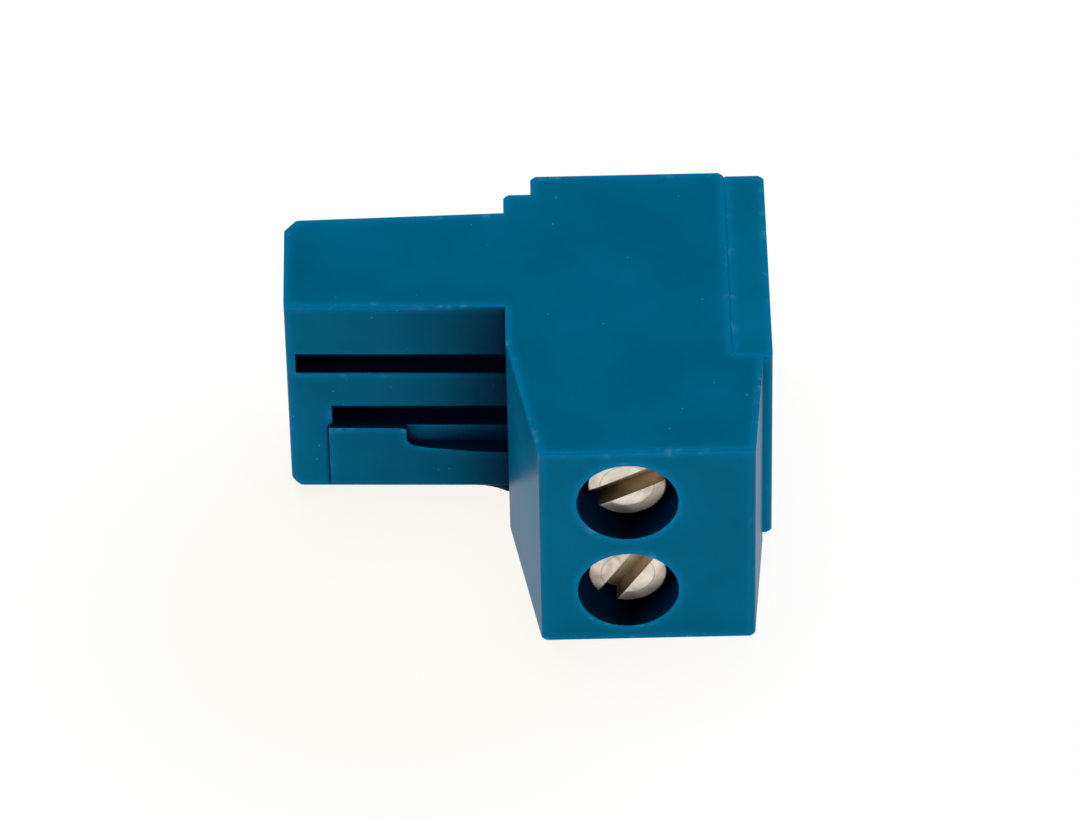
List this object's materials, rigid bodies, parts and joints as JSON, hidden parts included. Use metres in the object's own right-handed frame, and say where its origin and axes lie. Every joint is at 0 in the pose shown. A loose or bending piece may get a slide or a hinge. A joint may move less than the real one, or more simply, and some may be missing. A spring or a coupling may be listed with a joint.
{
  "type": "pluggable screw terminal",
  "caption": "Pluggable screw terminal: moulded housing with rising-cage wire clamps, captive slotted screws, spring socket contacts and a clip-on rear cover.",
  "frame": {"origin": "middle of the footprint, on the surface that the lower end wall rests on", "axes": "+X from the mating end to the wire entries, +Y from the screw face to the back, +Z along the row of poles"},
  "size_m": [0.0204, 0.0172, 0.0108],
  "materials": {
    "housing_plastic": "fine moulded grain",
    "cover_plastic": "fine moulded grain",
    "contact_metal": "tin plated strip",
    "cage_metal": "nickel plated",
    "screw_metal": "nickel plated"
  },
  "bodies": {
    "shell": {"housing": "housing_plastic", "rear_cover": "cover_plastic", "contact_1": "contact_metal", "contact_2": "contact_metal"},
    "lower_screw": {"screw_1": "screw_metal"},
    "upper_screw": {"screw_2": "screw_metal"},
    "lower_cage": {"cage_1": "cage_metal"},
    "upper_cage": {"cage_2": "cage_metal"}
  },
  "joints": [
    {"name": "screw_1_turn", "type": "hinge", "parent": "shell", "child": "lower_screw", "pos_m": [0.00398, -0.00755, 0.00286], "axis": [0, 1, 0], "range_deg": [0, 2160]},
    {"name": "screw_2_turn", "type": "hinge", "parent": "shell", "child": "upper_screw", "pos_m": [0.00398, -0.00755, 0.00794], "axis": [0, 1, 0], "range_deg": [0, 2160]},
    {"name": "cage_1_lift", "type": "slide", "parent": "shell", "child": "lower_cage", "axis": [0, -1, 0], "range_m": [0, 0.0027]},
    {"name": "cage_2_lift", "type": "slide", "parent": "shell", "child": "upper_cage", "axis": [0, -1, 0], "range_m": [0, 0.0027]}
  ],
  "couplings": [
    {"joint": "screw_1_turn", "follows": "cage_1_lift", "rad_per_m": 13963},
    {"joint": "screw_2_turn", "follows": "cage_2_lift", "rad_per_m": 13963}
  ]
}
